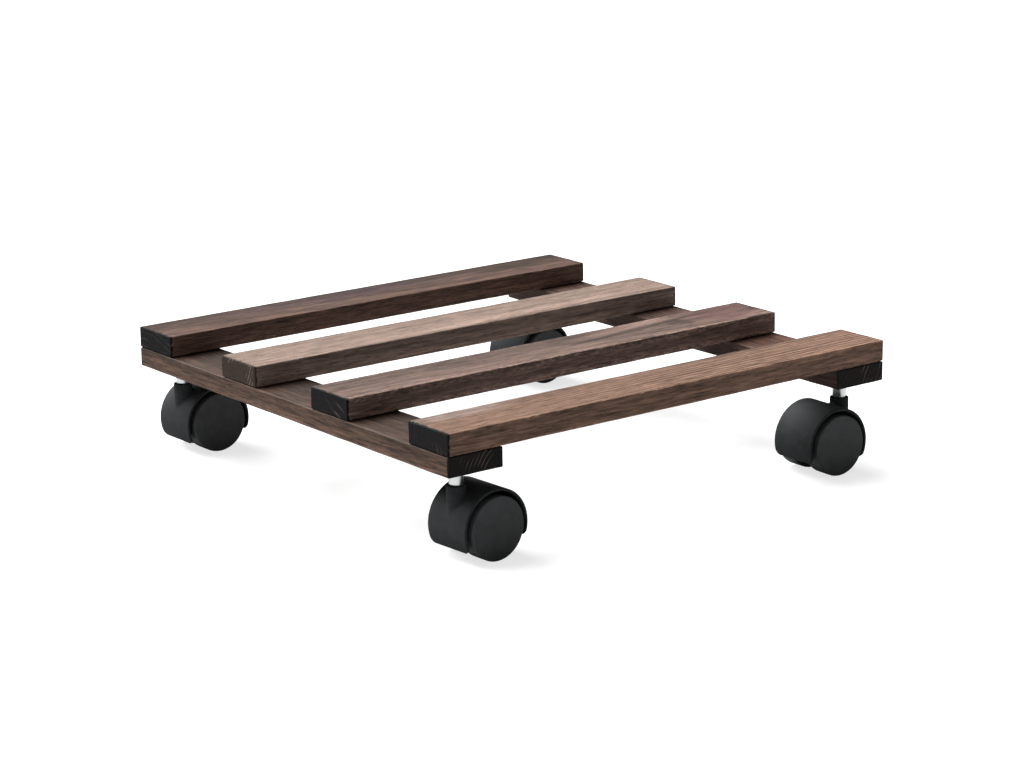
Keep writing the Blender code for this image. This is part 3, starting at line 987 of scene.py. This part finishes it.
hood = {
    "radius": 0.0244,
    "width": 0.035,
    "wall": 0.0018,
    "tailDroop": 23,      # degrees below level at the trailing end
    "stemDroop": 30,      # and at the end under the stem
    "rimEasing": 0.0006,
    "rimShare": 0.45,     # at most this share of the wall
    "innerRimShare": 0.7,
    "endEasing": 0.0007,
    "endThin": 0.99,      # so a sliver of wall is left at the very end
    "endCorner": 0.0045,
    "endCuts": (0, 0.03, 0.1, 0.2, 0.32, 0.5, 0.75, 1.0),    # where the mesh is cut there, in corners
    "steps": 88,
    "web": 0.003,
    "webSteps": 72,
    "boss": 0.0054,
    "bossEasing": 0.0004,
    "ribThick": 0.0012,
    "ribShare": 0.8,      # their width in boss widths
    "ribFoot": 0.001,
    "ribTurns": (25, 75),    # degrees above level
}


def hoodTop(trail, axleHeight, x):
    # height of the hood's outer skin over a point
    return axleHeight + math.sqrt(max(0.0, hood["radius"] ** 2 - (trail - x) ** 2))


def hoodArc():
    # where the hood starts round the axle, from the trailing side, and how far it goes
    start = -math.radians(hood["tailDroop"])
    return start, math.pi - start + math.radians(hood["stemDroop"])


def drawnBack(toEnd, easing):
    # how far an arc of this radius has drawn an edge back, this close to its end
    return easing - math.sqrt(easing ** 2 - max(0.0, easing - toEnd) ** 2)


def hoodShell(trail, axleHeight):
    inner, outer, half = hood["radius"] - hood["wall"], hood["radius"], hood["width"] / 2
    start, sweep = hoodArc()
    arcLength = sweep * outer
    corner = hood["endCorner"]
    # extra rows close to both ends, where the rim is rounded off
    near = [corner * share for share in hood["endCuts"]]
    spacing = (arcLength - 2 * corner) / hood["steps"]
    along = near + [corner + spacing * step for step in range(1, hood["steps"])]
    along += [arcLength - value for value in reversed(near)]
    loops = []
    for distance in along:
        toEnd = min(distance, arcLength - distance)
        thin = drawnBack(toEnd, hood["endEasing"]) * hood["endThin"]
        side = half - drawnBack(toEnd, corner)
        low, high = inner + thin, outer - thin
        rim = min(hood["rimEasing"], (high - low) * hood["rimShare"])
        innerRim = rim * hood["innerRimShare"]
        square = [(low, -side), (high, -side), (high, side), (low, side)]
        section = rounded(square, {0: innerRim, 1: rim, 2: rim, 3: innerRim})
        angle = start + distance / outer
        ahead, rise = math.cos(angle), math.sin(angle)
        loops.append([(trail + r * ahead, y, axleHeight + r * rise) for r, y in section])
    return ringMesh("hood", loops)


socket = {
    "radius": 0.0061,
    "bore": 0.0048,
    "length": 0.022,
    "floor": 0.002,
    "easing": 0.0005,
    "fillet": 0.0014,
    "filletSteps": 8,
    "filletLap": 0.00004,    # sunk into the hood's skin at its foot
    "filletDepth": 0.0009,
    "filletBack": 0.8,       # its hidden back's reach, in fillets
    "filletInside": 0.0007,
    "sides": 96,
}


def socketFillet(trail, axleHeight):
    # the soft web of plastic where the socket meets the hood's skin
    radius, fillet, steps = socket["radius"], socket["fillet"], socket["filletSteps"]
    section = []
    for step in range(steps + 1):
        bend = math.radians(90) * step / steps
        rise = fillet * (1 - math.sin(bend)) - socket["filletLap"]
        section.append((radius + fillet * (1 - math.cos(bend)), rise))
    inside = radius - socket["filletInside"]
    back = -socket["filletDepth"]
    section += [(radius + fillet * socket["filletBack"], back), (inside, back), (inside, section[0][1])]
    loops = []
    for side in range(socket["sides"]):
        angle = math.tau * side / socket["sides"]
        loop = []
        for out, rise in section:
            x, y = out * math.cos(angle), out * math.sin(angle)
            loop.append((x, y, hoodTop(trail, axleHeight, x) + rise))
        loops.append(loop)
    return ringMesh("socket fillet", loops, closed=True, capped=False)


def webMesh(trail, axleHeight, reach):
    # the flat wall between the wheels
    start, sweep = hoodArc()
    angles = [start + sweep * step / hood["webSteps"] for step in range(hood["webSteps"] + 1)]
    half = hood["web"] / 2
    outline = [(trail + reach * math.cos(angle), axleHeight + reach * math.sin(angle)) for angle in angles]
    return ringMesh("web", [[(x, side, z) for x, z in outline] for side in (-half, half)])


def housingMesh(trail, axleHeight, socketTop):
    skin = hood["radius"] - hood["wall"] / 2    # web and ribs end inside the hood's wall
    atAxle = Matrix.Translation((trail, 0, axleHeight))
    bossHalf = wheel["gap"] / 2 - 2 * gap
    boss = moved(pin("boss", hood["boss"], -bossHalf, bossHalf, hood["bossEasing"]), atAxle @ layOver)
    ribs = []
    thick, wide = hood["ribThick"] / 2, bossHalf * hood["ribShare"]
    for degrees in hood["ribTurns"]:
        rib = boxBetween(f"rib {degrees}", (hood["ribFoot"], -wide, -thick), (skin, wide, thick))
        ribs.append(moved(rib, atAxle @ Matrix.Rotation(-math.radians(degrees), 4, "Y")))
    socketFoot = socketTop - socket["length"]
    post = pin("socket", socket["radius"], socketFoot, socketTop, socket["easing"], socket["sides"], steps=4)
    bore, easing, boreFloor = socket["bore"], socket["easing"], socketFoot + socket["floor"]
    mouth = [(0, socketTop + overcut), (bore + easing, socketTop + overcut), (bore + easing, socketTop),
             (bore, socketTop - easing), (bore, boreFloor), (0, boreFloor)]
    axleBore = pin("axle bore", axle["radius"] + gap, -hood["width"], hood["width"])
    web, fillet = webMesh(trail, axleHeight, skin), socketFillet(trail, axleHeight)
    return fitted("castor housing", hoodShell(trail, axleHeight),
                  added=[web, boss, *ribs, post, fillet],
                  removed=[turned("bore", mouth), moved(axleBore, atAxle @ layOver)])


axle = {
    "radius": 0.003,
    "easing": 0.0004,
}


def axleMesh():
    # on Z, just short of the floors of both wheels' bores
    half = wheel["gap"] / 2 + wheel["boreDepth"] - gap
    return pin("axle", axle["radius"], -half, half, axle["easing"], sides=48)


wheel = {
    "gap": 0.0138,        # between the two wheels
    "wall": 0.0022,
    "hub": 0.006,
    "boreDepth": 0.008,
    "crown": 0.00006,
    "middleSink": 0.0002,    # how far the face is sunk in its middle
    "discSink": 0.00012,     # and at the edge of its disc
    "disc": 0.72,            # the disc's share of the radius
    "rim": 0.0014,
    "faceEasing": 0.0009,
    "lipEasing": 0.0004,
    "insideEasing": 0.0012,
    "ribs": 8,
    "ribThick": 0.0012,
    "ribDrop": 0.0012,    # ribs stop this far below the open lip
    "ribLap": 0.0008,     # and run this far into the hub and the rim
    "floorLap": 0.0006,
    "sides": 112,
}


def wheelMesh(radius, width):
    # axis on Z, open side at half of the gap, closed face outwards
    inner = wheel["gap"] / 2
    outer = inner + width
    floor = outer - wheel["wall"]
    rimInside, hub, bore = radius - wheel["wall"], wheel["hub"], axle["radius"] + gap
    boreEnd = inner + wheel["boreDepth"]
    profile = [(0, outer - wheel["middleSink"]), (radius * wheel["disc"], outer - wheel["discSink"]),
               (radius - wheel["rim"], outer), (radius, outer), (radius, (inner + outer) / 2),
               (radius - wheel["crown"], inner), (rimInside, inner), (rimInside, floor), (hub, floor),
               (hub, inner), (bore, inner), (bore, boreEnd), (0, boreEnd)]
    lip, inside = wheel["lipEasing"], wheel["insideEasing"]
    radii = {3: wheel["faceEasing"], 5: lip, 6: lip, 7: inside, 8: inside, 9: lip, 10: lip}
    dish = turned("wheel dish", rounded(profile, radii, steps=5), wheel["sides"])
    ribs = []
    thick, lap = wheel["ribThick"] / 2, wheel["ribLap"]
    for number in range(wheel["ribs"]):
        rib = boxBetween(f"wheel rib {number}", (hub - lap, -thick, inner + wheel["ribDrop"]),
                         (rimInside + lap, thick, floor + wheel["floorLap"]))
        ribs.append(moved(rib, Matrix.Rotation(math.tau * number / wheel["ribs"], 4, "Z")))
    return fitted("wheel", dish, added=[merged("wheel ribs", ribs)])


def wheelWidth():
    # worked out from how far apart the outer faces of a pair of wheels are
    joint = next(joint for joint in frame["joints"] if joint["child"] == f"{sampleCastor}_{wheelSides[0]}")
    along = Vector(joint["axis"]).normalized()
    reaches = [vertex.co.dot(along) for side in wheelSides
               for vertex in frame["nodes"][f"{sampleCastor}_{side}"].data.vertices]
    return (max(reaches) - min(reaches) - wheel["gap"]) / 2


def makeCastors(nylon, tread, chrome, zinc, spring):
    stands = castorStands()
    reach = stands["front_left"][1]
    trail, axleHeight = reach.xy.length, reach.z
    sampled = ("sleeve", "stem", "grip_ring", "housing", wheelSides[0])
    boxes = [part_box(f"{sampleCastor}_{part}") for part in sampled]
    sleeveBox, stemBox, ringBox, housingBox, wheelBox = boxes
    stemShape = stemMesh(*stemBox, sleeveBox[0].z, ringBox[0].z - gap, ringBox[1].z + gap)
    housingShape = housingMesh(trail, axleHeight, housingBox[1].z)
    axleShape = axleMesh()
    wheelShape = wheelMesh((wheelBox[1].z - wheelBox[0].z) / 2, wheelWidth())
    print("castor shapes made")
    upright = (
        ("sleeve", sleeveMesh(*sleeveBox), zinc, "zinc_plated_steel"),
        ("stem", stemShape, chrome, "chromed_steel"),
        ("grip_ring", gripRingMesh(*ringBox), spring, "spring_steel"),
        ("housing", housingShape, nylon, "black_nylon"),
    )
    for number, (corner, (stand, toAxle)) in enumerate(stands.items()):
        body = "castor_" + corner
        place = Matrix.Translation(stand) @ Matrix.Rotation(math.atan2(toAxle.y, toAxle.x), 4, "Z")
        for part, mesh, material, slot in upright:
            rides = body if part == "housing" else "deck"
            addPiece(f"{corner}_{part}", mesh, material, place, rides, f"{body}_{part}")
        centre = place @ Matrix.Translation((trail, 0, axleHeight))
        addPiece(f"{corner}_axle", axleShape, zinc, centre @ layOver,
                 body, f"{body}_axle")
        for wheelNumber, side in enumerate(wheelSides):
            outward = middleOf(f"{body}_{side}") - centre.translation
            local = centre.to_3x3().inverted() @ outward
            lay = layOver if local.y < 0 else layOver.inverted()
            quarters = number + 2 * wheelNumber    # so the wheels don't all stand alike
            rolled = Matrix.Rotation(math.radians(90) * quarters, 4, "Z")
            addPiece(f"{corner}_{side}", wheelShape, tread, centre @ lay @ rolled,
                     f"{body}_{side}", f"{body}_{side}")


# Finishes of the screws and castors

plastics = {
    "housing nylon": {"colour": "2B2D2E", "flow": 0.5, "grain": 0.5, "polish": 0.72, "specular": 0.1,
                      "relief": 0.18},
    "wheel nylon": {"colour": "3A3C3D", "flow": 0.5, "grain": 0.4, "polish": 0.55, "specular": 0.28,
                    "relief": 0.15},
}

metals = {
    "bright chrome": {"colour": "E2E3E4", "bloom": "C8C8C6", "bloomShare": 0.1, "polish": 0.16,
                      "turning": 0.2, "relief": 0.05},
    "zinc plate": {"colour": "BFC1BF", "bloom": "B7A67C", "bloomShare": 0.35, "polish": 0.24,
                   "turning": 0.4, "relief": 0.15},
    "spring steel": {"colour": "77787B", "bloom": "4B4A52", "bloomShare": 0.5, "polish": 0.3,
                     "turning": 0.4, "relief": 0.15},
}


def plasticFrom(name, group):
    look = plastics[name]
    return finishFrom(name, group, {
        "Base": hexColour(look["colour"]),
        "Flow": look["flow"],
        "Grain": look["grain"],
        "Polish": look["polish"],
    }, specular=look["specular"], bump=look["relief"])


def metalFrom(name, group):
    look = metals[name]
    return finishFrom(name, group, {
        "Base": hexColour(look["colour"]),
        "Bloom": hexColour(look["bloom"]),
        "Bloom share": look["bloomShare"],
        "Polish": look["polish"],
        "Turning": look["turning"],
    }, metallic=1.0, bump=look["relief"])


makeFloor()
makeLight()
makeCamera()
print("stage ready")

woodGroup = stainedWoodGroup()
plasticGroup = nylonGroup()
metalGroup = steelGroup()
housingNylon, wheelNylon = (plasticFrom(name, plasticGroup) for name in plastics)
chrome, zinc, spring = (metalFrom(name, metalGroup) for name in metals)
print("finishes ready")

makeBoards(woodGroup)
print("boards made")
makeScrews(zinc)
print("screws made")
makeCastors(housingNylon, wheelNylon, chrome, zinc, spring)
print("castors made")
